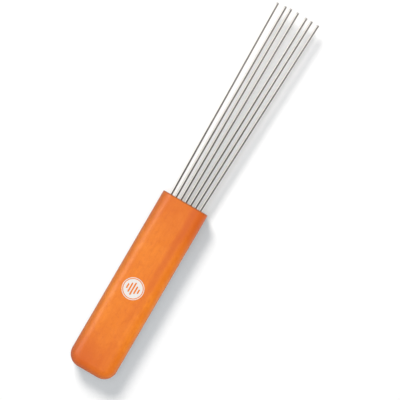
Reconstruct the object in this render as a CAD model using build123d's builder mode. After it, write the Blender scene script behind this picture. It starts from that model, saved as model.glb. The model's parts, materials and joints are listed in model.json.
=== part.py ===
"""Hand scraper for a metal guiro: straight spring wires fanned out of the end of a flat wooden grip.

Frame: the grip lies on its flat back. The origin is the centre of that back, +Z points out of the
badge face, +Y runs along the grip towards the wires and +X runs across it. Lengths are millimetres.
"""

from build123d import *

import os
from math import cos, radians, sin, tan

# Grip: one block of hardwood, rounded along its edges and round the butt, sawn square at the mouth
GRIP_LENGTH = 121.6
GRIP_WIDTH = 31.75
GRIP_THICKNESS = 19.05
EDGE_ROUNDING = 6.35
BUTT_CORNER = 8.75
MOUTH_EASE = 0.6

# Wires: equal lengths of hard-drawn spring wire, each glued into a blind bore of its own
WIRE_LENGTH = 168.0
WIRE_RADIUS = 1.0
WIRE_PITCH = 3.49
ROW_CENTRE = -0.2  # the row was drilled a little to the -X side
TIP_ROUNDING = 0.3
HEEL_CHAMFER = 0.25
SPLAY_DEGREES = (-1.0, -0.2, -0.1, 0.5, 1.6, 1.8, 2.3)  # away from the grip's axis, -X side first
SEAT_DEPTHS = (30.9, 30.4, 30.1, 30.0, 30.2, 30.3, 30.5)  # from the mouth to each wire's heel
FLEX_GAP = 0.25  # leaves the root of the free length clear of the mouth when it swings

# Bores: drilled a little wider and deeper than the wires, and filled up with epoxy
BORE_RADIUS = 1.2
HEEL_CLEARANCE = 0.8
DRILL_POINT_DEGREES = 118.0

# Badge: a thin printed disc inside a ring, with upright bars of bare wood left open in the disc
BADGE_CENTRE = (-1.4, -1.4)
BADGE_THICKNESS = 0.12
DISC_RADIUS = 6.05
RING_INNER_RADIUS = 6.6
RING_OUTER_RADIUS = 7.05
BAR_WIDTH = 1.0
BAR_PITCH = 1.9
BAR_HEIGHTS = (3.4, 6.4, 8.6, 5.2, 3.0)  # -X side first

# Derived sizes and places
WIRE_COUNT = len(SPLAY_DEGREES)
BAR_COUNT = len(BAR_HEIGHTS)
MOUTH_Y = GRIP_LENGTH / 2
WIRE_Z = GRIP_THICKNESS / 2
DRILL_POINT_LENGTH = BORE_RADIUS / tan(radians(DRILL_POINT_DEGREES / 2))
OVERRUN = 1.0  # how far a cutter reaches past the mouth

MOUTH_PLANE = Plane(origin=(0, MOUTH_Y, 0), x_dir=(1, 0, 0), z_dir=(0, 1, 0))
BADGE_PLANE = Plane(origin=(*BADGE_CENTRE, GRIP_THICKNESS))


def heading(wire):
    """The direction in which a wire runs out of the mouth."""
    splay = radians(SPLAY_DEGREES[wire])
    return Vector(sin(splay), cos(splay), 0)


def root(wire):
    """The point of the mouth's face where a wire's axis comes out."""
    across = ROW_CENTRE + (wire - (WIRE_COUNT - 1) / 2) * WIRE_PITCH
    return Vector(across, MOUTH_Y, WIRE_Z)


def square_plane(wire, along):
    """The plane square to a wire at a distance along it from the mouth, facing the tip."""
    return Plane(origin=root(wire) + heading(wire) * along, z_dir=heading(wire))


def bore_section(wire):
    """Half of a bore's lengthwise section, from past the mouth down to the drill's point."""
    full_depth = SEAT_DEPTHS[wire] + HEEL_CLEARANCE
    with BuildSketch(Plane(origin=root(wire), x_dir=heading(wire), z_dir=(0, 0, 1))) as section:
        with BuildLine():
            Polyline(
                (OVERRUN, 0),
                (OVERRUN, BORE_RADIUS),
                (-full_depth, BORE_RADIUS),
                (-full_depth - DRILL_POINT_LENGTH, 0),
                close=True,
            )
        make_face()
    return section.sketch


def finish(builder, name):
    """Labels a finished piece with its node's name and writes its file."""
    builder.part.label = name
    export_step(builder.part, f"parts/{name}.step")


os.makedirs("parts", exist_ok=True)

# The grip, with its row of blind bores
with BuildPart() as grip:
    with BuildSketch() as outline:
        Rectangle(GRIP_WIDTH, GRIP_LENGTH)
        fillet(outline.vertices().group_by(Axis.Y)[0], radius=BUTT_CORNER)
    extrude(amount=GRIP_THICKNESS)
    levels = grip.faces().filter_by(Axis.Z)
    mouth_edges = grip.faces().sort_by(Axis.Y)[-1].edges()
    fillet(levels.edges() - mouth_edges, radius=EDGE_ROUNDING)
    fillet(grip.faces().sort_by(Axis.Y)[-1].edges(), radius=MOUTH_EASE)
    for wire in range(WIRE_COUNT):
        revolve(bore_section(wire), axis=Axis(root(wire), heading(wire)), mode=Mode.SUBTRACT)
finish(grip, "grip")

# Each wire, in two lengths that meet at the mouth, and the epoxy that holds it
for wire in range(WIRE_COUNT):
    name = f"tine_{wire + 1}"

    with BuildPart() as tine:
        with BuildSketch(square_plane(wire, FLEX_GAP)):
            Circle(WIRE_RADIUS)
        extrude(amount=WIRE_LENGTH - SEAT_DEPTHS[wire] - FLEX_GAP)
        fillet(tine.faces().sort_by(Axis.Y)[-1].edges(), radius=TIP_ROUNDING)
    finish(tine, name)

    with BuildPart() as shank:
        with BuildSketch(square_plane(wire, OVERRUN)):
            Circle(WIRE_RADIUS)
        extrude(amount=-SEAT_DEPTHS[wire] - OVERRUN)
        chamfer(shank.faces().sort_by(Axis.Y)[0].edges(), length=HEEL_CHAMFER)
        split(bisect_by=MOUTH_PLANE, keep=Keep.BOTTOM)
    finish(shank, f"{name}_shank")

    with BuildPart() as bond:
        revolve(bore_section(wire), axis=Axis(root(wire), heading(wire)))
        split(bisect_by=MOUTH_PLANE, keep=Keep.BOTTOM)
        add(shank.part, mode=Mode.SUBTRACT)
    finish(bond, f"{name}_bond")

# The badge's printed disc, with bars of differing height left open
with BuildPart() as badge_disc:
    with BuildSketch(BADGE_PLANE):
        Circle(DISC_RADIUS)
        for bar, height in enumerate(BAR_HEIGHTS):
            with Locations(((bar - (BAR_COUNT - 1) / 2) * BAR_PITCH, 0)):
                SlotOverall(height, BAR_WIDTH, rotation=90, mode=Mode.SUBTRACT)
    extrude(amount=BADGE_THICKNESS)
finish(badge_disc, "badge_disc")

# The printed ring round the disc
with BuildPart() as badge_ring:
    with BuildSketch(BADGE_PLANE):
        Circle(RING_OUTER_RADIUS)
        Circle(RING_INNER_RADIUS, mode=Mode.SUBTRACT)
    extrude(amount=BADGE_THICKNESS)
finish(badge_ring, "badge_ring")
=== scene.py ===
"""Looks for a guiro scraper: stained grip, drawn spring wires, their glue, the badge and the studio.

Everything is in metres in the CAD model's frame: the grip lies on its back at z 0, +Y runs to the tips
of the wires and +X across the grip. Sizes come from the CAD nodes and joints, or from the settings below.
"""

import json
from math import cos, pi, radians, sin

import bmesh
import bpy
from bpy.props import FloatProperty, FloatVectorProperty, IntProperty, PointerProperty
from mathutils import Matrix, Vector, noise


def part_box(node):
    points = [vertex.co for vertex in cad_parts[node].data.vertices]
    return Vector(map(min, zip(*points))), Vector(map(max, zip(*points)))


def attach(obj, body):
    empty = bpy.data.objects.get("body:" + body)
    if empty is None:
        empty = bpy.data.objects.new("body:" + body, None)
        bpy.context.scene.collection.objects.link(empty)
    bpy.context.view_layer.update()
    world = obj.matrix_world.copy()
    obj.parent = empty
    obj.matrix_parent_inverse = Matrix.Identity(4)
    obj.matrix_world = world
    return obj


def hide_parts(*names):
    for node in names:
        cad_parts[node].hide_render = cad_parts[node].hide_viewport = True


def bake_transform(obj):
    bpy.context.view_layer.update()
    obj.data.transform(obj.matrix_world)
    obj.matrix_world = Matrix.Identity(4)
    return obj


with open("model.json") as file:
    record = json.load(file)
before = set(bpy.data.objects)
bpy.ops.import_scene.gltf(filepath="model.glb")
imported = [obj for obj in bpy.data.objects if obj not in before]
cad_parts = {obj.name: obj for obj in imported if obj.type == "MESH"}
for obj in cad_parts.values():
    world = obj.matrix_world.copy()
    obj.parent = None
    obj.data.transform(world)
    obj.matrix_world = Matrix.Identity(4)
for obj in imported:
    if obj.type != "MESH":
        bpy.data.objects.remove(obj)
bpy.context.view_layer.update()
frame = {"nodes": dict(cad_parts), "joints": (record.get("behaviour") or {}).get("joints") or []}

bl_info = {
    "name": "Guiro scraper",
    "version": (1, 0, 0),
    "blender": (4, 5, 0),
    "location": "View3D > Sidebar > Scraper",
    "description": "Builds the finished looks of a guiro scraper round its CAD model",
    "category": "Object",
}

MM = 0.001


# ---------------- places read from the frame


def reach(node, start, heading):
    """How far a CAD node goes from a point along a heading: the lowest and the highest distance."""
    steps = [(vertex.co - start).dot(heading) for vertex in frame["nodes"][node].data.vertices]
    return min(steps), max(steps)


class Wire:
    """Where one spring wire lies. Distances along it start at the mouth and are negative in the grip."""

    def __init__(self, joint):
        self.body = joint["child"]
        self.shank = f"{self.body}_shank"
        self.bond = f"{self.body}_bond"
        self.root = Vector(joint["pos_m"])
        self.heading = Vector((-joint["axis"][1], joint["axis"][0], 0)).normalized()
        self.tip = reach(self.body, self.root, self.heading)[1]
        self.heel = reach(self.shank, self.root, self.heading)[0]
        self.bore_end = reach(self.bond, self.root, self.heading)[0]

    def at(self, distance):
        """The point of the wire's axis at a distance from the mouth."""
        return self.root + self.heading * distance


WIRES = [Wire(joint) for joint in frame["joints"]]
GRIP_LOW, GRIP_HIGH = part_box("grip")
MOUTH_Y = GRIP_HIGH.y
BADGE_LOW, BADGE_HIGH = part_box("badge_ring")
BADGE_CENTRE = (BADGE_LOW + BADGE_HIGH) / 2
BADGE_RADIUS = (BADGE_HIGH.x - BADGE_LOW.x) / 2
TINE_LOW, TINE_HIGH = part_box(WIRES[0].body)
WIRE_RADIUS = (TINE_HIGH.z - TINE_LOW.z) / 2
BOND_LOW, BOND_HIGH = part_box(WIRES[0].bond)
BORE_RADIUS = (BOND_HIGH.z - BOND_LOW.z) / 2


# ---------------- settings


def length(name, description, default):
    """A length setting, in metres."""
    return FloatProperty(
        name=name, description=description, default=default, min=0, unit="LENGTH", precision=5
    )


def share(name, description, default, top=1.0):
    """A plain number setting, such as a share or a strength."""
    return FloatProperty(
        name=name, description=description, default=default, min=0, max=top, subtype="FACTOR"
    )


def power(name, description, default):
    """A lamp's power setting, in watts."""
    return FloatProperty(name=name, description=description, default=default, min=0, unit="POWER")


def colour(name, description, default):
    """A colour setting, in linear light."""
    return FloatVectorProperty(
        name=name, description=description, default=default, size=3, min=0, max=1, subtype="COLOR"
    )


class ScraperGripSettings(bpy.types.PropertyGroup):
    """The wooden grip's shape and finish."""

    edge_rounding: length("Edge rounding", "Radius of the long edges and of the butt's edges", 6.35 * MM)
    butt_corner: length("Butt corner", "Radius of the butt's corners, seen from above", 8.75 * MM)
    mouth_ease: length("Mouth ease", "Radius of the mouth's softened edge", 0.6 * MM)
    sanding_depth: length("Sanding depth", "Most that hand sanding took off unevenly", 0.06 * MM)
    sanding_span: length("Sanding span", "Typical distance from one low spot to the next", 19 * MM)
    bore_chamfer: length("Bore chamfer", "Broken edge round each bore's mouth", 0.16 * MM)
    stain: colour("Stain", "Orange stain on the long grain", (0.745, 0.184, 0.0085))
    stain_light: colour("Light stain", "Where the wood took less stain", (0.80, 0.218, 0.014))
    stain_deep: colour("Deep stain", "Where the wood took more stain", (0.60, 0.102, 0.007))
    end_grain: colour("End grain", "Stain soaked into the end grain", (0.40, 0.085, 0.012))
    roughness: share("Roughness", "Roughness of the satin lacquer", 0.46)
    coat: share("Lacquer", "Weight of the clear lacquer", 0.12)


class ScraperWireSettings(bpy.types.PropertyGroup):
    """The spring wires' shape and finish."""

    tip_rounding: length("Tip rounding", "Radius of the ground tip's edge", 0.3 * MM)
    heel_chamfer: length("Heel chamfer", "Chamfer on the end inside the grip", 0.25 * MM)
    waviness: length("Waviness", "How far a straightened wire still strays from a line", 0.05 * MM)
    sides: IntProperty(name="Sides", description="Faces round a wire", default=24, min=8)
    stations: IntProperty(name="Stations", description="Rings along a wire", default=84, min=8)
    steel: colour("Steel", "Bright drawn steel", (0.85, 0.79, 0.75))
    roughness: share("Roughness", "Roughness of the drawn surface", 0.16)


class ScraperGlueSettings(bpy.types.PropertyGroup):
    """The epoxy in and round the bores."""

    bead_width: length("Bead width", "How thick the squeezed-out bead is", 0.42 * MM)
    bead_height: length("Bead height", "How far the bead stands out of the mouth", 0.16 * MM)
    amber: colour("Amber", "Colour of the cured epoxy", (0.50, 0.30, 0.10))
    seed: IntProperty(name="Seed", description="Changes how the beads differ", default=4)


class ScraperBadgeSettings(bpy.types.PropertyGroup):
    """The printed badge."""

    ink: colour("Ink", "White printing ink", (0.775, 0.735, 0.70))
    thin_ink: colour("Thin ink", "Ink so thin that the stain shows through", (0.74, 0.46, 0.34))
    roughness: share("Roughness", "Roughness of the dried ink", 0.45)


class ScraperStageSettings(bpy.types.PropertyGroup):
    """The floor, lights and camera."""

    floor_half: length("Floor reach", "From the middle of the floor to its edge", 20.0)
    floor_glow: share("Floor glow", "How much of the floor's white comes from below", 0.11)
    side_power: power("Side power", "Power of the softbox that casts the long shadow", 58.0)
    overhead_power: power("Overhead power", "Power of the softbox over the floor", 20.0)
    top_power: power("Top power", "Power of the softbox over the scraper", 68.0)
    sheen_power: power("Sheen power", "Power of the softbox that shows in the lacquer", 48.0)
    room: share("Room light", "Strength of the light from all round", 0.27, 4.0)
    focal_length: FloatProperty(name="Focal length", description="Camera lens in millimetres", default=120.0)
    frame_width: length("Frame width", "Width of the picture at the height of the wires", 0.25)
    turn: FloatProperty(
        name="Turn", description="How far the camera is turned", default=radians(30.2), subtype="ANGLE"
    )


# ---------------- helpers for nodes and meshes


def add_node(tree, kind, inputs=None, **settings):
    """Adds a node with its settings, and gives inputs, by name or number, a value or a link."""
    made = tree.nodes.new(kind)
    for name, value in settings.items():
        setattr(made, name, value)
    for name, value in (inputs or {}).items():
        if isinstance(value, bpy.types.NodeSocket):
            tree.links.new(value, made.inputs[name])
        else:
            made.inputs[name].default_value = value
    return made


def math_node(tree, operation, first, second=0.0, clamp=False):
    """The result of a sum on numbers."""
    inputs = {0: first, 1: second}
    return add_node(tree, "ShaderNodeMath", inputs, operation=operation, use_clamp=clamp).outputs[0]


def plus(tree, first, second, clamp=False):
    """Two numbers added up."""
    return math_node(tree, "ADD", first, second, clamp)


def minus(tree, first, second):
    """The first number less the second."""
    return math_node(tree, "SUBTRACT", first, second)


def times(tree, first, second):
    """Two numbers multiplied."""
    return math_node(tree, "MULTIPLY", first, second)


def vector_node(tree, operation, first, second):
    """The result of a sum on vectors."""
    return add_node(tree, "ShaderNodeVectorMath", {0: first, 1: second}, operation=operation).outputs[0]


def scaled(tree, vector, factor):
    """A vector made longer by a factor."""
    return add_node(tree, "ShaderNodeVectorMath", {0: vector, 3: factor}, operation="SCALE").outputs[0]


def span(tree, vector):
    """How long a vector is."""
    return add_node(tree, "ShaderNodeVectorMath", {0: vector}, operation="LENGTH").outputs["Value"]


def fade(tree, value, low, high, to_low=0.0, to_high=1.0):
    """Takes a value from low to high smoothly over to another pair of values."""
    inputs = {"Value": value, "From Min": low, "From Max": high, "To Min": to_low, "To Max": to_high}
    return add_node(tree, "ShaderNodeMapRange", inputs, interpolation_type="SMOOTHSTEP").outputs[0]


def tint(tree, amount, first, second):
    """Mixes two colours by an amount."""
    return add_node(tree, "ShaderNodeMix", {0: amount, 6: first, 7: second}, data_type="RGBA").outputs[2]


def grain(tree, place, per_axis, detail=3.0, roughness=0.55, distortion=0.0):
    """Noise from 0 to 1 whose fineness is given for each axis, in cycles per millimetre."""
    inputs = {
        "Vector": vector_node(tree, "MULTIPLY", place, per_axis), "Scale": 1.0,
        "Detail": detail, "Roughness": roughness, "Distortion": distortion,
    }
    return add_node(tree, "ShaderNodeTexNoise", inputs).outputs[0]


def in_millimetres(tree, place):
    """A place in metres as millimetres."""
    return scaled(tree, place, 1 / MM)


def rgba(rgb):
    """A colour setting with full alpha."""
    return (*rgb, 1.0)


def new_material(name):
    """A material's tree and its Principled shader, and the object's own coordinates in millimetres."""
    material = bpy.data.materials.new(name)
    material.use_nodes = True
    tree = material.node_tree
    place = in_millimetres(tree, add_node(tree, "ShaderNodeTexCoord").outputs["Object"])
    return material, tree, tree.nodes["Principled BSDF"], place


def add_bump(tree, shader, layers):
    """Stacks bumps, each a height and how deep it is in millimetres, and joins them to the shader."""
    normal = None
    for height, depth in layers:
        inputs = {"Height": height, "Distance": depth * MM, "Strength": 1.0}
        if normal is not None:
            inputs["Normal"] = normal
        normal = add_node(tree, "ShaderNodeBump", inputs).outputs[0]
    tree.links.new(normal, shader.inputs["Normal"])


def new_object(name, mesh, material):
    """Links a finished mesh into the scene as an object with one material."""
    made = bpy.data.objects.new(name, mesh)
    if not mesh.materials:
        mesh.materials.append(material)
    bpy.context.scene.collection.objects.link(made)
    return made


NOISE_MIDDLE = (0.5, 0.5, 0.5)  # what noise in colour averages


def new_group(name, sockets):
    """A geometry tree with named inputs, and its input and output nodes."""
    tree = bpy.data.node_groups.new(name, "GeometryNodeTree")
    for label, kind in sockets:
        tree.interface.new_socket(name=label, in_out="INPUT", socket_type=kind)
    tree.interface.new_socket(name="Geometry", in_out="OUTPUT", socket_type="NodeSocketGeometry")
    return tree, tree.nodes.new("NodeGroupInput").outputs, tree.nodes.new("NodeGroupOutput").inputs


def facing(tree, heading):
    """The turn that brings +Z round to a heading."""
    return add_node(tree, "FunctionNodeAlignRotationToVector", {"Vector": heading}, axis="Z").outputs[0]


def made_of(tree, geometry, material):
    """Makes every instance real and gives the whole one material."""
    real = add_node(tree, "GeometryNodeRealizeInstances", {"Geometry": geometry}).outputs[0]
    return add_node(tree, "GeometryNodeSetMaterial", {"Geometry": real, "Material": material}).outputs[0]


def noted(tree, geometry, name, value, data_type):
    """Notes a value on every point of a shape, under a name."""
    inputs = {"Geometry": geometry, "Name": name, "Value": value}
    kind = "GeometryNodeStoreNamedAttribute"
    return add_node(tree, kind, inputs, data_type=data_type, domain="POINT").outputs[0]


def grown(name, tree, values, seed_mesh=None):
    """Runs a geometry tree with the given input values and returns its result as a plain object."""
    host = bpy.data.objects.new(f"{name}_host", seed_mesh or bpy.data.meshes.new(f"{name}_host"))
    bpy.context.scene.collection.objects.link(host)
    modifier = host.modifiers.new(name, "NODES")
    modifier.node_group = tree
    for item in tree.interface.items_tree:
        if item.in_out == "INPUT" and item.name in values:
            modifier[item.identifier] = values[item.name]
    host.update_tag()
    graph = bpy.context.evaluated_depsgraph_get()
    mesh = bpy.data.meshes.new_from_object(host.evaluated_get(graph))
    mesh.name = name
    bpy.data.objects.remove(host)
    return new_object(name, mesh, None)


# ---------------- materials


def stained_wood(settings):
    """Fine-pored hardwood under an orange stain and satin lacquer, with a darker streak and end grain."""
    material, tree, shader, place = new_material("stained_wood")
    axes = add_node(tree, "ShaderNodeSeparateXYZ", {0: place}).outputs
    end = add_node(tree, "ShaderNodeAttribute", attribute_name="end_grain").outputs["Fac"]
    deep, soaked = rgba(settings.stain_deep), rgba(settings.end_grain)

    blotches = grain(tree, place, (0.13, 0.085, 0.13), detail=5, roughness=0.66, distortion=0.5)
    fibres = grain(tree, place, (1.5, 0.045, 1.5), detail=5, roughness=0.62, distortion=0.35)
    flecks = grain(tree, place, (0.5, 0.34, 0.5), detail=4, roughness=0.65)
    pores = fade(tree, grain(tree, place, (5.2, 0.42, 5.2), detail=1), 0.66, 0.76)
    rings = times(tree, growth_rings(tree, place), fade(tree, end, 0.2, 1.0, 0.09, 0.8))
    mouth = MOUTH_Y / MM

    # Each layer darkens the ones before it: how much of it there is, and its colour
    layers = [
        (darker_places(tree, axes), deep),
        (fade(tree, fibres, 0.52, 0.80, 0.0, 0.24), deep),
        (fade(tree, flecks, 0.46, 0.72, 0.0, 0.3), deep),
        (rings, deep),
        (dark_streak(tree, place, axes), deep),
        (times(tree, pores, fade(tree, end, 0.2, 1.0, 0.35, 0.8)), soaked),
        (fade(tree, end, 0.25, 1.0, 0.0, 0.4), soaked),
        (fade(tree, axes["Y"], mouth - 0.9, mouth - 0.3, 0.0, 0.75), soaked),
    ]
    wood = tint(tree, fade(tree, blotches, 0.38, 0.66), rgba(settings.stain), rgba(settings.stain_light))
    for amount, darker in layers:
        wood = tint(tree, amount, wood, darker)
    tree.links.new(wood, shader.inputs["Base Color"])

    uneven = grain(tree, place, (0.3, 0.12, 0.3), detail=2)
    gloss = fade(tree, uneven, 0.3, 0.7, settings.roughness - 0.05, settings.roughness + 0.06)
    tree.links.new(plus(tree, gloss, times(tree, end, 0.2)), shader.inputs["Roughness"])
    shader.inputs["Coat Weight"].default_value = settings.coat
    shader.inputs["Coat Roughness"].default_value = 0.42
    shader.inputs["Specular IOR Level"].default_value = 0.35
    add_bump(tree, shader, [(fibres, 0.035), (minus(tree, 1.0, pores), 0.03), (flecks, 0.012)])
    return material


# The stretch over which each darkening goes, in millimetres
MOUTH_END = (24.0, 56.0)
BUTT_END = (-26.0, -60.0)
BUTT_ACROSS = (-7.0, 9.0)
MOUTH_SIDE = (8.0, 54.0)
MOUTH_ACROSS = (5.0, 13.0)


def darker_places(tree, axes):
    """Darker towards both ends, and on the +X side near the mouth, 0 to 1."""
    mouth_end = fade(tree, axes["Y"], *MOUTH_END, 0.0, 0.44)
    butt_end = fade(tree, axes["Y"], *BUTT_END, 0.0, 0.82)
    butt_side = times(tree, butt_end, fade(tree, axes["X"], *BUTT_ACROSS, 1.15, 0.5))
    mouth_edge = fade(tree, axes["X"], *MOUTH_ACROSS, 0.0, 0.5)
    mouth_side = times(tree, fade(tree, axes["Y"], *MOUTH_SIDE), mouth_edge)
    return plus(tree, math_node(tree, "MAXIMUM", mouth_end, butt_side), mouth_side, clamp=True)


PITH = (-34.0, 0.0, 46.0)  # in millimetres: the tree's middle ran above the face, past the -X side
RING_TAPER = 0.035  # how far out of line with the grip the rings run
RING_SWAY = 7.0  # how far the rings stray from true circles, in millimetres
RINGS_PER_MM = 0.42


def growth_rings(tree, place):
    """Growth rings round the pith, 0 to 1, each one dark at its outer edge."""
    sway = grain(tree, place, (0.05, 0.012, 0.05), detail=2)
    from_pith = vector_node(tree, "SUBTRACT", place, PITH)
    radius = span(tree, vector_node(tree, "MULTIPLY", from_pith, (1, RING_TAPER, 1)))
    swayed = plus(tree, radius, times(tree, sway, RING_SWAY))
    phase = math_node(tree, "FRACT", times(tree, swayed, RINGS_PER_MM))
    return fade(tree, phase, 0.45, 1.0)


# The streak, in millimetres: where it lies across the grip, how it wanders and where it fades
STREAK_DRIFT = (-60.0, 20.0)
STREAK_ACROSS = (4.2, 7.5)  # at the two ends of the drift
STREAK_WANDER = 2.4
STREAK_LEVEL = 19.0
STREAK_SLANT = 0.4  # for each millimetre below that level it lies so much further to +X
STREAK_WIDTH = (0.2, 3.6)  # from its middle: where it starts to fade and where it is gone
STREAK_FADE = (-45.0, 58.0)


def dark_streak(tree, place, axes):
    """A mineral streak that runs down from the mouth, drifts towards the middle and fades, 0 to 1."""
    wander = minus(tree, grain(tree, place, (0.02, 0.045, 0.02), detail=2), 0.5)
    drift = fade(tree, axes["Y"], *STREAK_DRIFT, *STREAK_ACROSS)
    offset = plus(tree, minus(tree, axes["X"], drift), times(tree, wander, STREAK_WANDER))
    offset = plus(tree, offset, times(tree, minus(tree, axes["Z"], STREAK_LEVEL), STREAK_SLANT))
    strip = fade(tree, math_node(tree, "ABSOLUTE", offset), *STREAK_WIDTH, 1.0, 0.0)
    return times(tree, strip, fade(tree, axes["Y"], *STREAK_FADE, 0.25, 0.75))


DULL_AND_SHADED_STEEL = 0.62  # how bright the dull steel, and the painted shade by the grip, are beside the bright


def drawn_steel(settings):
    """Bright spring wire with fine drawing lines and faint spots, with painted shade by the grip, and duller
    at the tip.
    """
    material, tree, shader, _ = new_material("drawn_steel")
    own_place = add_node(tree, "ShaderNodeAttribute", attribute_name="lie").outputs["Vector"]
    lie = in_millimetres(tree, own_place)
    from_mouth = along_wire(tree, "from_mouth")
    to_tip = along_wire(tree, "to_tip")
    lines = grain(tree, lie, (7.0, 7.0, 0.05), detail=3, roughness=0.6)
    spots = grain(tree, lie, (0.9, 0.9, 0.35), detail=4, roughness=0.65)
    ground = fade(tree, to_tip, 0.1, 1.6, 1.0, 0.0)
    dull_and_shaded = rgba(tuple(part * DULL_AND_SHADED_STEEL for part in settings.steel))
    spotted = tint(tree, fade(tree, spots, 0.55, 0.78, 0.0, 0.3), rgba(settings.steel), dull_and_shaded)
    # Painted shade: the steel's colour darkens towards the grip, standing in for the darker reflections
    # beside it
    painted_shade_by_grip = tint(tree, fade(tree, from_mouth, 0.0, 85.0, 0.2, 0.0), spotted, dull_and_shaded)
    tipped = tint(tree, times(tree, ground, 0.8), painted_shade_by_grip, dull_and_shaded)
    tree.links.new(tipped, shader.inputs["Base Color"])
    shader.inputs["Metallic"].default_value = 1.0
    drawn = fade(tree, lines, 0.3, 0.75, settings.roughness - 0.06, settings.roughness + 0.08)
    tree.links.new(plus(tree, drawn, times(tree, ground, 0.2)), shader.inputs["Roughness"])
    add_bump(tree, shader, [(lines, 0.0007), (spots, 0.001)])
    return material


def along_wire(tree, name):
    """One of the wire's own distances, in millimetres."""
    distance = add_node(tree, "ShaderNodeAttribute", attribute_name=name).outputs["Fac"]
    return times(tree, distance, 1 / MM)


CLOUDY_GLUE = 1.6  # how bright the cloudy glue is beside the clear


def cured_epoxy(settings):
    """Clear amber epoxy, glossy, with a faint cloudiness."""
    material, tree, shader, place = new_material("cured_epoxy")
    cloud = grain(tree, place, (0.8, 0.8, 0.8), detail=3)
    pale = rgba(tuple(min(1.0, part * CLOUDY_GLUE) for part in settings.amber))
    clouded = tint(tree, fade(tree, cloud, 0.35, 0.7), rgba(settings.amber), pale)
    tree.links.new(clouded, shader.inputs["Base Color"])
    tree.links.new(fade(tree, cloud, 0.3, 0.7, 0.1, 0.2), shader.inputs["Roughness"])
    shader.inputs["Transmission Weight"].default_value = 0.25
    shader.inputs["IOR"].default_value = 1.55
    add_bump(tree, shader, [(cloud, 0.02)])
    return material


def printed_ink(settings):
    """White transfer ink, a little thin and pitted in places and along the grain under it."""
    material, tree, shader, place = new_material("printed_ink")
    weave = grain(tree, place, (2.6, 0.5, 2.6), detail=4, roughness=0.65)
    pits = grain(tree, place, (5.0, 5.0, 5.0), detail=2)
    thin_along = fade(tree, weave, 0.58, 0.82, 0.0, 0.34)
    thin = plus(tree, thin_along, fade(tree, pits, 0.66, 0.8, 0.0, 0.3), clamp=True)
    printed = tint(tree, thin, rgba(settings.ink), rgba(settings.thin_ink))
    tree.links.new(printed, shader.inputs["Base Color"])
    matt = fade(tree, weave, 0.3, 0.7, settings.roughness - 0.06, settings.roughness + 0.1)
    tree.links.new(matt, shader.inputs["Roughness"])
    add_bump(tree, shader, [(weave, 0.015), (pits, 0.01)])
    return material


PAPER = (0.88, 0.88, 0.88, 1.0)
PAPER_TOOTH = (0.90, 0.90, 0.90, 1.0)
PAPER_GLOW = (0.93, 0.96, 0.98, 1.0)
SWEEP_START = 280.0  # in millimetres from the floor's middle: where it starts to glow more
SWEEP_END = 1500.0


def white_paper(glow):
    """The studio floor: matt white with the faintest tooth, lit from below and ever more so further out."""
    material, tree, shader, place = new_material("white_paper")
    tooth = grain(tree, place, (0.8, 0.8, 0.8), detail=3)
    tree.links.new(tint(tree, tooth, PAPER, PAPER_TOOTH), shader.inputs["Base Color"])
    shader.inputs["Roughness"].default_value = 0.9
    shader.inputs["Specular IOR Level"].default_value = 0.1
    shader.inputs["Emission Color"].default_value = PAPER_GLOW
    diffuse = add_node(tree, "ShaderNodeLightPath").outputs["Is Diffuse Ray"]
    swept = fade(tree, span(tree, place), SWEEP_START, SWEEP_END, glow, 1.0)
    tree.links.new(times(tree, minus(tree, 1.0, diffuse), swept), shader.inputs["Emission Strength"])
    add_bump(tree, shader, [(tooth, 0.02)])
    return material


# ---------------- the wooden grip


SIDE_STEPS = 64  # rows of faces along a side
ARC_STEPS = 14  # round a corner of the butt
ACROSS_STEPS = 18  # from side to side
ROUND_STEPS = 12  # round a long edge
WALL_STEPS = 4  # up the flat part of a side
EASE_STEPS = 5  # round the mouth's edge
BORE_SIDES = 32
QUARTER = pi / 2
SANDING_STRETCH = 1.6  # how much longer than wide the low spots are
BADGE_MARGIN = 3 * MM  # the sanding fades out over this distance from the badge
MOUTH_LIP = 0.2 * MM  # width of the ring of faces just inside the mouth's eased edge
DRILL_POINT = 0.6  # length of the drill's point, as a share of the bore's radius


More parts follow.
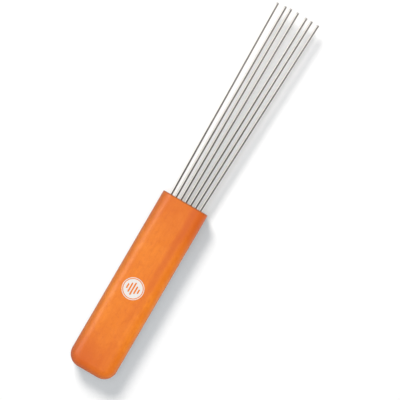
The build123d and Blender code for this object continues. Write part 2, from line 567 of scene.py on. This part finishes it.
class GripShell:
    """Lays out the grip's skin as one closed mesh: rows of faces, and triangles between the bores."""

    def __init__(self, settings):
        self.settings = settings
        self.mesh = bmesh.new()
        self.end_layer = self.mesh.verts.layers.float.new("end_grain")
        self.half = (GRIP_HIGH.x - GRIP_LOW.x) / 2
        self.stations = self.plan_stations()
        self.profile = self.edge_profile()

    def sanded(self, point, normal):
        """A point of the skin, let in a little where hand sanding took more off."""
        stretched = Vector((point.x * SANDING_STRETCH, point.y, point.z * SANDING_STRETCH))
        low_spot = 0.5 + 0.5 * noise.noise(stretched / self.settings.sanding_span)
        clear = (Vector((point.x, point.y)) - BADGE_CENTRE.xy).length - BADGE_RADIUS
        beside_badge = min(1.0, max(0.0, clear / BADGE_MARGIN))
        return point - normal * self.settings.sanding_depth * low_spot * beside_badge

    def add_point(self, point, normal):
        """Adds a vertex of the skin and notes how much end grain it shows."""
        made = self.mesh.verts.new(self.sanded(point, normal))
        made[self.end_layer] = abs(normal.y)
        return made

    def plan_stations(self):
        """(point, outward normal) seen from above, from the mouth's -X side round to its +X side."""
        corner = self.settings.butt_corner
        top = MOUTH_Y - self.settings.mouth_ease
        bottom = GRIP_LOW.y + corner
        left = []
        for step in range(SIDE_STEPS):
            y = top + (bottom - top) * step / SIDE_STEPS
            left.append((Vector((-self.half, y)), Vector((-1, 0))))
        centre = Vector((corner - self.half, bottom))
        for step in range(ARC_STEPS):
            angle = pi + QUARTER * step / ARC_STEPS
            normal = Vector((cos(angle), sin(angle)))
            left.append((centre + normal * corner, normal))
        flat = self.half - corner
        butt = []
        for step in range(ACROSS_STEPS + 1):
            butt.append((Vector((flat * (2 * step / ACROSS_STEPS - 1), GRIP_LOW.y)), Vector((0, -1))))
        right = []
        for point, normal in reversed(left):
            right.append((Vector((-point.x, point.y)), Vector((-normal.x, normal.y))))
        return left + butt + right

    def edge_profile(self):
        """(inset, height, outward share, upward share) from the back's rim up to the face's rim."""
        radius = self.settings.edge_rounding
        low, high = GRIP_LOW.z + radius, GRIP_HIGH.z - radius
        rows = []
        for step in range(ROUND_STEPS):
            angle = QUARTER * step / ROUND_STEPS
            rows.append((radius * (1 - sin(angle)), low - radius * cos(angle), sin(angle), -cos(angle)))
        for step in range(WALL_STEPS + 1):
            rows.append((0.0, low + (high - low) * step / WALL_STEPS, 1.0, 0.0))
        for step in range(1, ROUND_STEPS + 1):
            angle = QUARTER * step / ROUND_STEPS
            rows.append((radius * (1 - cos(angle)), high + radius * sin(angle), cos(angle), sin(angle)))
        return rows

    def build_sides(self):
        """The rounded edges and walls all round, as one column of vertices for each station."""
        self.columns = []
        for point, normal in self.stations:
            column = []
            for inset, height, outward, upward in self.profile:
                place = point - normal * inset
                direction = Vector((normal.x * outward, normal.y * outward, upward))
                column.append(self.add_point(Vector((place.x, place.y, height)), direction))
            self.columns.append(column)
        for before, after in zip(self.columns, self.columns[1:]):
            for low in range(len(self.profile) - 1):
                self.mesh.faces.new((before[low], after[low], after[low + 1], before[low + 1]))

    def build_flat(self, level):
        """The flat back (level 0) or face (level -1). Returns its row of vertices at the mouth."""
        upward = 1 if level else -1
        rows = []
        for step in range(SIDE_STEPS + ARC_STEPS):
            left, right = self.columns[step][level], self.columns[-1 - step][level]
            row = [left]
            for across in range(1, ACROSS_STEPS):
                point = left.co.lerp(right.co, across / ACROSS_STEPS)
                point.z = self.profile[level][1]
                row.append(self.add_point(point, Vector((0, 0, upward))))
            rows.append(row + [right])
        first = SIDE_STEPS + ARC_STEPS
        rows.append([column[level] for column in self.columns[first:first + ACROSS_STEPS + 1]])
        for near, far in zip(rows, rows[1:]):
            for across in range(ACROSS_STEPS):
                self.mesh.faces.new((near[across], near[across + 1], far[across + 1], far[across]))
        return rows[0]

    def build_mouth(self, back_row, face_row):
        """The softened edge round the mouth, its end-grain face and the bores in it."""
        left, right = [], []
        rows = zip(self.columns[0], self.columns[-1], self.profile)
        for left_vertex, right_vertex, (_, _, outward, upward) in rows:
            left.append((left_vertex, Vector((-outward, 0, upward))))
            right.append((right_vertex, Vector((outward, 0, upward))))
        ring = left + [(vertex, Vector((0, 0, 1))) for vertex in face_row[1:-1]]
        ring += reversed(right)
        ring += [(vertex, Vector((0, 0, -1))) for vertex in reversed(back_row[1:-1])]
        ease = self.settings.mouth_ease
        steps = []
        for step in range(1, EASE_STEPS + 1):
            angle = QUARTER * step / EASE_STEPS
            steps.append((ease * (1 - cos(angle)), ease * sin(angle), sin(angle)))
        steps.append((ease + MOUTH_LIP, ease, 1.0))
        outer = [vertex for vertex, _ in ring]
        for inset, forward, end_share in steps:
            inner = []
            for vertex, normal in ring:
                made = self.mesh.verts.new(vertex.co - normal * inset + Vector((0, forward, 0)))
                made[self.end_layer] = end_share
                inner.append(made)
            self.join_rings(outer, inner)
            outer = inner
        edges = [self.mesh.edges.get((a, b)) for a, b in zip(outer, outer[1:] + outer[:1])]
        for wire in WIRES:
            edges += self.build_bore(wire)
        bmesh.ops.triangle_fill(self.mesh, edges=edges, use_beauty=True, normal=(0, 1, 0))

    def build_bore(self, wire):
        """One blind bore with its broken edge and drill point. Returns the edges of its rim."""
        chamfer = self.settings.bore_chamfer
        drilled_to = wire.bore_end + BORE_RADIUS * DRILL_POINT
        across = wire.heading.cross(Vector((0, 0, 1)))
        rims = [(BORE_RADIUS + chamfer, 0.0), (BORE_RADIUS, -chamfer), (BORE_RADIUS, drilled_to)]
        rings = []
        for radius, distance in rims:
            rings.append([])
            for side in range(BORE_SIDES):
                angle = 2 * pi * side / BORE_SIDES
                spoke = across * radius * cos(angle) + Vector((0, 0, radius * sin(angle)))
                square_cut = -spoke.y / wire.heading.y if distance == 0.0 else 0.0
                made = self.mesh.verts.new(wire.at(distance + square_cut) + spoke)
                made[self.end_layer] = 1.0
                rings[-1].append(made)
        for outer, inner in zip(rings, rings[1:]):
            self.join_rings(outer, inner)
        bottom = self.mesh.verts.new(wire.at(wire.bore_end))
        bottom[self.end_layer] = 1.0
        for a, b in zip(rings[-1], rings[-1][1:] + rings[-1][:1]):
            self.mesh.faces.new((a, b, bottom))
        rim = [self.mesh.edges.get((a, b)) for a, b in zip(rings[0], rings[0][1:] + rings[0][:1])]
        for edge in rim:
            edge.smooth = False
        return rim

    def join_rings(self, outer, inner):
        """Closes the strip between two rings of as many vertices."""
        for here in range(len(outer)):
            after = (here + 1) % len(outer)
            self.mesh.faces.new((outer[here], outer[after], inner[after], inner[here]))

    def finished(self, name):
        """The whole skin as a mesh."""
        self.build_sides()
        back_row = self.build_flat(0)
        face_row = self.build_flat(-1)
        self.build_mouth(back_row, face_row)
        bmesh.ops.recalc_face_normals(self.mesh, faces=self.mesh.faces)
        for face in self.mesh.faces:
            face.smooth = True
        mesh = bpy.data.meshes.new(name)
        self.mesh.to_mesh(mesh)
        self.mesh.free()
        return mesh


class SCRAPER_OT_grip(bpy.types.Operator):
    """Build the wooden grip"""

    bl_idname = "scraper.grip"
    bl_label = "Wooden grip"

    def execute(self, context):
        settings = context.scene.scraper_grip
        shell = GripShell(settings).finished("wooden_grip")
        grip = new_object("wooden_grip", shell, stained_wood(settings))
        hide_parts("grip")
        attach(grip, "grip")
        return {"FINISHED"}


# ---------------- the spring wires


ROUND_RINGS = 5  # round the tip's edge
STRAYS_PER_METRE = 24.0  # how often the wire strays to a side and back
STRAY_START = 20 * MM  # past the mouth: where it strays by the full amount
STRAY_GAIN = 4.0  # brings the noise's usual reach from its middle up to 1
SEED_STEP = 3.7  # from one wire's noise to the next one's


def spring_wire_tree():
    """A wire along its own Z from heel to tip, stood at its heel along its heading."""
    sockets = [
        ("Heel", "NodeSocketVector"), ("Heading", "NodeSocketVector"), ("Length", "NodeSocketFloat"),
        ("Buried", "NodeSocketFloat"), ("Radius", "NodeSocketFloat"), ("Tip Rounding", "NodeSocketFloat"),
        ("Heel Chamfer", "NodeSocketFloat"), ("Waviness", "NodeSocketFloat"), ("Stations", "NodeSocketInt"),
        ("Sides", "NodeSocketInt"), ("Seed", "NodeSocketFloat"), ("Steel", "NodeSocketMaterial"),
    ]
    tree, given, result = new_group("spring wire", sockets)
    line = add_node(tree, "GeometryNodeCurvePrimitiveLine").outputs[0]
    count = plus(tree, given["Stations"], ROUND_RINGS)
    rings = add_node(tree, "GeometryNodeResampleCurve", {"Curve": line, "Count": count}).outputs[0]
    index = add_node(tree, "GeometryNodeInputIndex").outputs[0]

    # Even rings up to the tip's rounding, one of them at the heel's chamfer, and rings round the tip's edge
    last = minus(tree, given["Stations"], 1)
    straight = minus(tree, given["Length"], given["Tip Rounding"])
    spacing = math_node(
        tree, "DIVIDE", minus(tree, straight, given["Heel Chamfer"]), minus(tree, last, 1)
    )
    steps = minus(tree, math_node(tree, "MINIMUM", index, last), 1)
    even = plus(tree, given["Heel Chamfer"], times(tree, steps, spacing))
    even = math_node(tree, "MAXIMUM", 0.0, even)
    past_last = math_node(tree, "MAXIMUM", 0.0, minus(tree, index, last))
    turned = times(tree, QUARTER / ROUND_RINGS, past_last)
    rounded = times(tree, given["Tip Rounding"], math_node(tree, "SINE", turned))
    along = plus(tree, even, rounded)
    heel_radius = plus(tree, along, minus(tree, given["Radius"], given["Heel Chamfer"]))
    full = math_node(tree, "MINIMUM", given["Radius"], heel_radius)
    drop = minus(tree, 1.0, math_node(tree, "COSINE", turned))
    radius = minus(tree, full, times(tree, given["Tip Rounding"], drop))

    # The little that the wire strays from a line, outside the grip only
    at = add_node(tree, "ShaderNodeCombineXYZ", {"Z": times(tree, along, STRAYS_PER_METRE)}).outputs[0]
    inputs = {"Vector": at, "W": given["Seed"], "Scale": 1.0, "Detail": 1.0}
    stray = add_node(tree, "ShaderNodeTexNoise", inputs, noise_dimensions="4D").outputs["Color"]
    centred = vector_node(tree, "SUBTRACT", stray, NOISE_MIDDLE)
    free = fade(tree, minus(tree, along, given["Buried"]), 0.0, STRAY_START)
    reach_out = times(tree, given["Waviness"], times(tree, free, STRAY_GAIN))
    aside = add_node(tree, "ShaderNodeSeparateXYZ", {0: scaled(tree, centred, reach_out)}).outputs
    inputs = {"X": aside["X"], "Y": aside["Y"], "Z": along}
    point = add_node(tree, "ShaderNodeCombineXYZ", inputs).outputs[0]

    spine = add_node(tree, "GeometryNodeSetPosition", {"Geometry": rings, "Position": point}).outputs[0]
    inputs = {"Resolution": given["Sides"], "Radius": 1.0}
    circle = add_node(tree, "GeometryNodeCurvePrimitiveCircle", inputs).outputs[0]
    inputs = {"Curve": spine, "Profile Curve": circle, "Scale": radius, "Fill Caps": True}
    skin = add_node(tree, "GeometryNodeCurveToMesh", inputs).outputs[0]

    # What the steel's pattern follows: the wire's own straight coordinates, and the distances from its ends
    own_place = add_node(tree, "GeometryNodeInputPosition").outputs[0]
    height = add_node(tree, "ShaderNodeSeparateXYZ", {0: own_place}).outputs["Z"]
    skin = noted(tree, skin, "lie", own_place, "FLOAT_VECTOR")
    skin = noted(tree, skin, "from_mouth", minus(tree, height, given["Buried"]), "FLOAT")
    skin = noted(tree, skin, "to_tip", minus(tree, given["Length"], height), "FLOAT")

    inputs = {"Geometry": skin, "Translation": given["Heel"], "Rotation": facing(tree, given["Heading"])}
    stood = add_node(tree, "GeometryNodeTransform", inputs).outputs[0]
    tree.links.new(made_of(tree, stood, given["Steel"]), result["Geometry"])
    return tree


class SCRAPER_OT_wires(bpy.types.Operator):
    """Build the spring wires, each one unbroken from its heel in the grip to its tip"""

    bl_idname = "scraper.wires"
    bl_label = "Spring wires"

    def execute(self, context):
        settings = context.scene.scraper_wires
        tree = spring_wire_tree()
        steel = drawn_steel(settings)
        for number, wire in enumerate(WIRES):
            values = {
                "Heel": wire.at(wire.heel), "Heading": wire.heading, "Length": wire.tip - wire.heel,
                "Buried": -wire.heel, "Radius": WIRE_RADIUS, "Tip Rounding": settings.tip_rounding,
                "Heel Chamfer": settings.heel_chamfer, "Waviness": settings.waviness,
                "Stations": settings.stations, "Sides": settings.sides, "Seed": SEED_STEP * number,
                "Steel": steel,
            }
            made = grown(f"spring_wire_{number + 1}", tree, values)
            outward(made.data)
            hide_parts(wire.body, wire.shank)
            wire.at(wire.tip)
            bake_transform(made)
        return {"FINISHED"}


def outward(mesh):
    """Turns every face of a closed mesh outwards and shades it smooth."""
    shape = bmesh.new()
    shape.from_mesh(mesh)
    bmesh.ops.recalc_face_normals(shape, faces=shape.faces)
    for face in shape.faces:
        face.smooth = True
    shape.to_mesh(mesh)
    shape.free()


# ---------------- the glue


BEAD_SIDES = 40
BEAD_SECTION_SIDES = 12
BEAD_OFFSET = 0.3  # from the wire's skin to the bead's middle, as a share of its width
SMALLEST_BEAD = (1.0, 1.0, 0.55)  # scales, across the wire twice and along it
LARGEST_BEAD = (1.07, 1.07, 1.0)
LUMPS_PER_METRE = 700.0
LUMP_HEIGHT = 0.5  # as a share of the bead's height


def glue_bead_tree():
    """A squeezed-out bead of glue on each given point, square to its heading, no two alike."""
    sockets = [
        ("Geometry", "NodeSocketGeometry"), ("Wire Radius", "NodeSocketFloat"), ("Width", "NodeSocketFloat"),
        ("Height", "NodeSocketFloat"), ("Seed", "NodeSocketInt"), ("Glue", "NodeSocketMaterial"),
    ]
    tree, given, result = new_group("glue beads", sockets)
    ring_radius = plus(tree, given["Wire Radius"], times(tree, given["Width"], BEAD_OFFSET))
    half_width = times(tree, given["Width"], 0.5)
    inputs = {"Resolution": BEAD_SIDES, "Radius": ring_radius}
    path = add_node(tree, "GeometryNodeCurvePrimitiveCircle", inputs).outputs[0]
    inputs = {"Resolution": BEAD_SECTION_SIDES, "Radius": half_width}
    section = add_node(tree, "GeometryNodeCurvePrimitiveCircle", inputs).outputs[0]
    bead = add_node(tree, "GeometryNodeCurveToMesh", {"Curve": path, "Profile Curve": section}).outputs[0]
    inputs = {"X": 1.0, "Y": 1.0, "Z": math_node(tree, "DIVIDE", given["Height"], half_width)}
    flatten = add_node(tree, "ShaderNodeCombineXYZ", inputs).outputs[0]
    flat = add_node(tree, "GeometryNodeTransform", {"Geometry": bead, "Scale": flatten}).outputs[0]

    kind = "GeometryNodeInputNamedAttribute"
    heading = add_node(tree, kind, {"Name": "heading"}, data_type="FLOAT_VECTOR").outputs[0]
    inputs = {0: SMALLEST_BEAD, 1: LARGEST_BEAD, "Seed": given["Seed"]}
    size = add_node(tree, "FunctionNodeRandomValue", inputs, data_type="FLOAT_VECTOR").outputs[0]
    inputs = {
        "Points": given["Geometry"], "Instance": flat, "Rotation": facing(tree, heading), "Scale": size,
    }
    beads = add_node(tree, "GeometryNodeInstanceOnPoints", inputs).outputs[0]
    real = add_node(tree, "GeometryNodeRealizeInstances", {"Geometry": beads}).outputs[0]

    inputs = {
        "Vector": add_node(tree, "GeometryNodeInputPosition").outputs[0],
        "Scale": LUMPS_PER_METRE, "Detail": 1.0,
    }
    lumps = add_node(tree, "ShaderNodeTexNoise", inputs).outputs["Color"]
    centred = vector_node(tree, "SUBTRACT", lumps, NOISE_MIDDLE)
    push = scaled(tree, centred, times(tree, given["Height"], LUMP_HEIGHT))
    lumpy = add_node(tree, "GeometryNodeSetPosition", {"Geometry": real, "Offset": push}).outputs[0]
    tree.links.new(made_of(tree, lumpy, given["Glue"]), result["Geometry"])
    return tree


class SCRAPER_OT_glue(bpy.types.Operator):
    """Build the beads of glue round the wires, and finish the glue in the bores"""

    bl_idname = "scraper.glue"
    bl_label = "Glue"

    def execute(self, context):
        settings = context.scene.scraper_glue
        glue = cured_epoxy(settings)
        for wire in WIRES:
            frame["nodes"][wire.bond].data.materials.clear()
            frame["nodes"][wire.bond].data.materials.append(glue)
        roots = bpy.data.meshes.new("roots")
        roots.from_pydata([wire.root for wire in WIRES], [], [])
        headings = roots.attributes.new("heading", "FLOAT_VECTOR", "POINT")
        for number, wire in enumerate(WIRES):
            headings.data[number].vector = wire.heading
        values = {
            "Wire Radius": WIRE_RADIUS, "Width": settings.bead_width, "Height": settings.bead_height,
            "Seed": settings.seed, "Glue": glue,
        }
        beads = grown("glue_beads", glue_bead_tree(), values, seed_mesh=roots)
        outward(beads.data)
        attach(beads, "grip")
        return {"FINISHED"}


# ---------------- the badge


class SCRAPER_OT_badge(bpy.types.Operator):
    """Finish the printed badge"""

    bl_idname = "scraper.badge"
    bl_label = "Printed badge"

    def execute(self, context):
        ink = printed_ink(context.scene.scraper_badge)
        for name in ("badge_disc", "badge_ring"):
            island = frame["nodes"][name]
            island.data.materials.clear()
            island.data.materials.append(ink)
        return {"FINISHED"}


# ---------------- the studio


SOFTBOX_DISTANCE = 2.6  # in metres, from the mouth
# Each softbox: the length of its side in metres, and the direction in which it hangs, seen from the mouth
SIDE_BOX = (0.84, (-0.52, 0.49, 0.70))
OVERHEAD_BOX = (1.65, (0.0, 0.0, 1.0))
TOP_BOX = (1.65, (0.12, 0.0, 1.0))
SHEEN_BOX = (1.9, (-0.56, 0.0, 0.83))
WARM_WHITE = (1.0, 0.965, 0.93)
COOL_WHITE = (0.94, 0.965, 1.0)
ROOM_WHITE = (0.95, 0.98, 1.0, 1.0)

# What glossy things see of the room, as leans from straight overhead towards +X, and as brightness
LEFT_WALL_FOOT = (radians(-84), radians(-62))
LEFT_WALL_TOP = (radians(-20), radians(-6))
LEFT_WALL_GLOW = (0.9, 1.5)  # at its foot and above it
RIGHT_WALL_TOP = (radians(43), radians(60))
RIGHT_WALL_GLOW = 0.64
GAP_GLOW = 0.01
GAP_SHIFT = radians(-50)  # towards the butt, the gap reaches that much further to +X
GAP_SHIFT_OVER = 0.13  # the share of +Y in a direction at which that shift has faded out

LOOK_AT = (6.8 * MM, 6.0 * MM)  # the middle of the picture, across and along from the mouth's middle


class SCRAPER_OT_stage(bpy.types.Operator):
    """Set up the white floor, the softboxes, the light of the room and the camera"""

    bl_idname = "scraper.stage"
    bl_label = "Studio"

    def execute(self, context):
        settings = context.scene.scraper_stage
        floor = self.lay_floor(settings)
        side = self.hang_softbox(context, "side_softbox", settings.side_power, SIDE_BOX)
        side.data.color = WARM_WHITE
        self.aim_at(side, [floor], "INCLUDE")
        overhead = self.hang_softbox(context, "overhead_softbox", settings.overhead_power, OVERHEAD_BOX)
        overhead.data.color = COOL_WHITE
        self.aim_at(overhead, [floor], "INCLUDE")
        top = self.hang_softbox(context, "top_softbox", settings.top_power, TOP_BOX)
        self.aim_at(top, [floor], "EXCLUDE")
        sheen = self.hang_softbox(context, "sheen_softbox", settings.sheen_power, SHEEN_BOX)
        sheen.visible_glossy = True
        sheen.visible_diffuse = False
        grip = bpy.data.objects["wooden_grip"]
        self.aim_at(sheen, [grip], "INCLUDE")
        grip.visible_diffuse = False  # so the orange doesn't spill onto the paper
        self.light_room(context, settings)
        self.place_camera(context, settings)
        context.scene.view_settings.view_transform = "Standard"
        return {"FINISHED"}

    def lay_floor(self, settings):
        """A wide sheet of white paper, level with the grip's back."""
        half = settings.floor_half
        corners = [(-half, -half), (half, -half), (half, half), (-half, half)]
        mesh = bpy.data.meshes.new("studio_floor")
        mesh.from_pydata([(x, y, GRIP_LOW.z) for x, y in corners], [], [(0, 1, 2, 3)])
        floor = new_object("studio_floor", mesh, white_paper(settings.floor_glow))
        return floor

    def hang_softbox(self, context, name, watts, box):
        """A square softbox that hangs in a direction from the mouth and doesn't show in the steel."""
        size, towards = box
        light = bpy.data.lights.new(name, "AREA")
        light.energy = watts
        light.size = size
        softbox = bpy.data.objects.new(name, light)
        direction = Vector(towards).normalized()
        softbox.location = Vector((0, MOUTH_Y, 0)) + direction * SOFTBOX_DISTANCE
        softbox.rotation_euler = direction.to_track_quat("Z", "Y").to_euler()
        softbox.visible_glossy = False
        softbox.visible_camera = False
        context.scene.collection.objects.link(softbox)
        return softbox

    def aim_at(self, softbox, targets, state):
        """Lets a softbox light its targets alone (INCLUDE), or everything but its targets (EXCLUDE)."""
        lit = bpy.data.collections.new(f"{softbox.name}_receivers")
        for target in targets:
            lit.objects.link(target)
        for member in lit.collection_objects:
            member.light_linking.link_state = state
        softbox.light_linking.receiver_collection = lit

    def light_room(self, context, settings):
        """A pale room. Glossy things see a bright wall, a dark gap overhead and a dimmer wall at +X."""
        world = bpy.data.worlds.new("room")
        world.use_nodes = True
        tree = world.node_tree
        path = add_node(tree, "ShaderNodeLightPath").outputs
        direction = add_node(tree, "ShaderNodeTexCoord").outputs["Generated"]
        axes = add_node(tree, "ShaderNodeSeparateXYZ", {0: direction}).outputs
        lean = math_node(tree, "ARCTAN2", axes["X"], axes["Z"])
        past_gap = plus(tree, lean, fade(tree, axes["Y"], 0.0, GAP_SHIFT_OVER, GAP_SHIFT, 0.0))
        left_glow = fade(tree, lean, *LEFT_WALL_FOOT, *LEFT_WALL_GLOW)
        left_wall = times(tree, fade(tree, lean, *LEFT_WALL_TOP, 1.0, 0.0), left_glow)
        right_wall = fade(tree, past_gap, *RIGHT_WALL_TOP, 0.0, RIGHT_WALL_GLOW)
        seen = plus(tree, math_node(tree, "MAXIMUM", left_wall, right_wall), GAP_GLOW)
        diffuse = times(tree, path["Is Diffuse Ray"], settings.room)
        direct = math_node(tree, "LESS_THAN", path["Diffuse Depth"], 0.5)
        glossy = times(tree, times(tree, path["Is Glossy Ray"], direct), seen)
        total = plus(tree, plus(tree, diffuse, glossy), path["Is Camera Ray"])
        background = tree.nodes["Background"]
        background.inputs["Color"].default_value = ROOM_WHITE
        tree.links.new(total, background.inputs["Strength"])
        context.scene.world = world

    def place_camera(self, context, settings):
        """A long lens straight above, turned so that the scraper lies across the picture."""
        lens = bpy.data.cameras.new("camera")
        lens.lens = settings.focal_length
        camera = bpy.data.objects.new("camera", lens)
        distance = settings.frame_width * lens.lens / lens.sensor_width
        across, along = LOOK_AT
        middle = Vector((across, MOUTH_Y + along, WIRES[0].root.z))
        camera.location = middle + Vector((0, 0, distance))
        camera.rotation_euler = (0, 0, settings.turn)
        context.scene.collection.objects.link(camera)
        context.scene.camera = camera


# ---------------- the panel and registration


class SCRAPER_PT_pieces(bpy.types.Panel):
    """Lists the scraper's pieces and their settings"""

    bl_idname = "SCRAPER_PT_pieces"
    bl_label = "Guiro scraper"
    bl_space_type = "VIEW_3D"
    bl_region_type = "UI"
    bl_category = "Scraper"

    def draw(self, context):
        for operator, name in STEPS:
            box = self.layout.box()
            box.operator(operator.bl_idname)
            settings = getattr(context.scene, name)
            for key in settings.bl_rna.properties.keys():
                if key not in ("rna_type", "name"):
                    box.prop(settings, key)


STEPS = [
    (SCRAPER_OT_grip, "scraper_grip"),
    (SCRAPER_OT_wires, "scraper_wires"),
    (SCRAPER_OT_glue, "scraper_glue"),
    (SCRAPER_OT_badge, "scraper_badge"),
    (SCRAPER_OT_stage, "scraper_stage"),
]

SETTINGS = {
    "scraper_grip": ScraperGripSettings,
    "scraper_wires": ScraperWireSettings,
    "scraper_glue": ScraperGlueSettings,
    "scraper_badge": ScraperBadgeSettings,
    "scraper_stage": ScraperStageSettings,
}


def register():
    """Registers the settings, operators and panel."""
    for name, group in SETTINGS.items():
        bpy.utils.register_class(group)
        setattr(bpy.types.Scene, name, PointerProperty(type=group))
    for operator, _ in STEPS:
        bpy.utils.register_class(operator)
    bpy.utils.register_class(SCRAPER_PT_pieces)


def unregister():
    """Takes back what register did."""
    bpy.utils.unregister_class(SCRAPER_PT_pieces)
    for operator, _ in STEPS:
        bpy.utils.unregister_class(operator)
    for name, group in SETTINGS.items():
        delattr(bpy.types.Scene, name)
        bpy.utils.unregister_class(group)


def main():
    """Builds every piece in turn."""
    register()
    bpy.ops.scraper.grip()
    bpy.ops.scraper.wires()
    bpy.ops.scraper.glue()
    bpy.ops.scraper.badge()
    bpy.ops.scraper.stage()


if __name__ == "__main__":
    main()
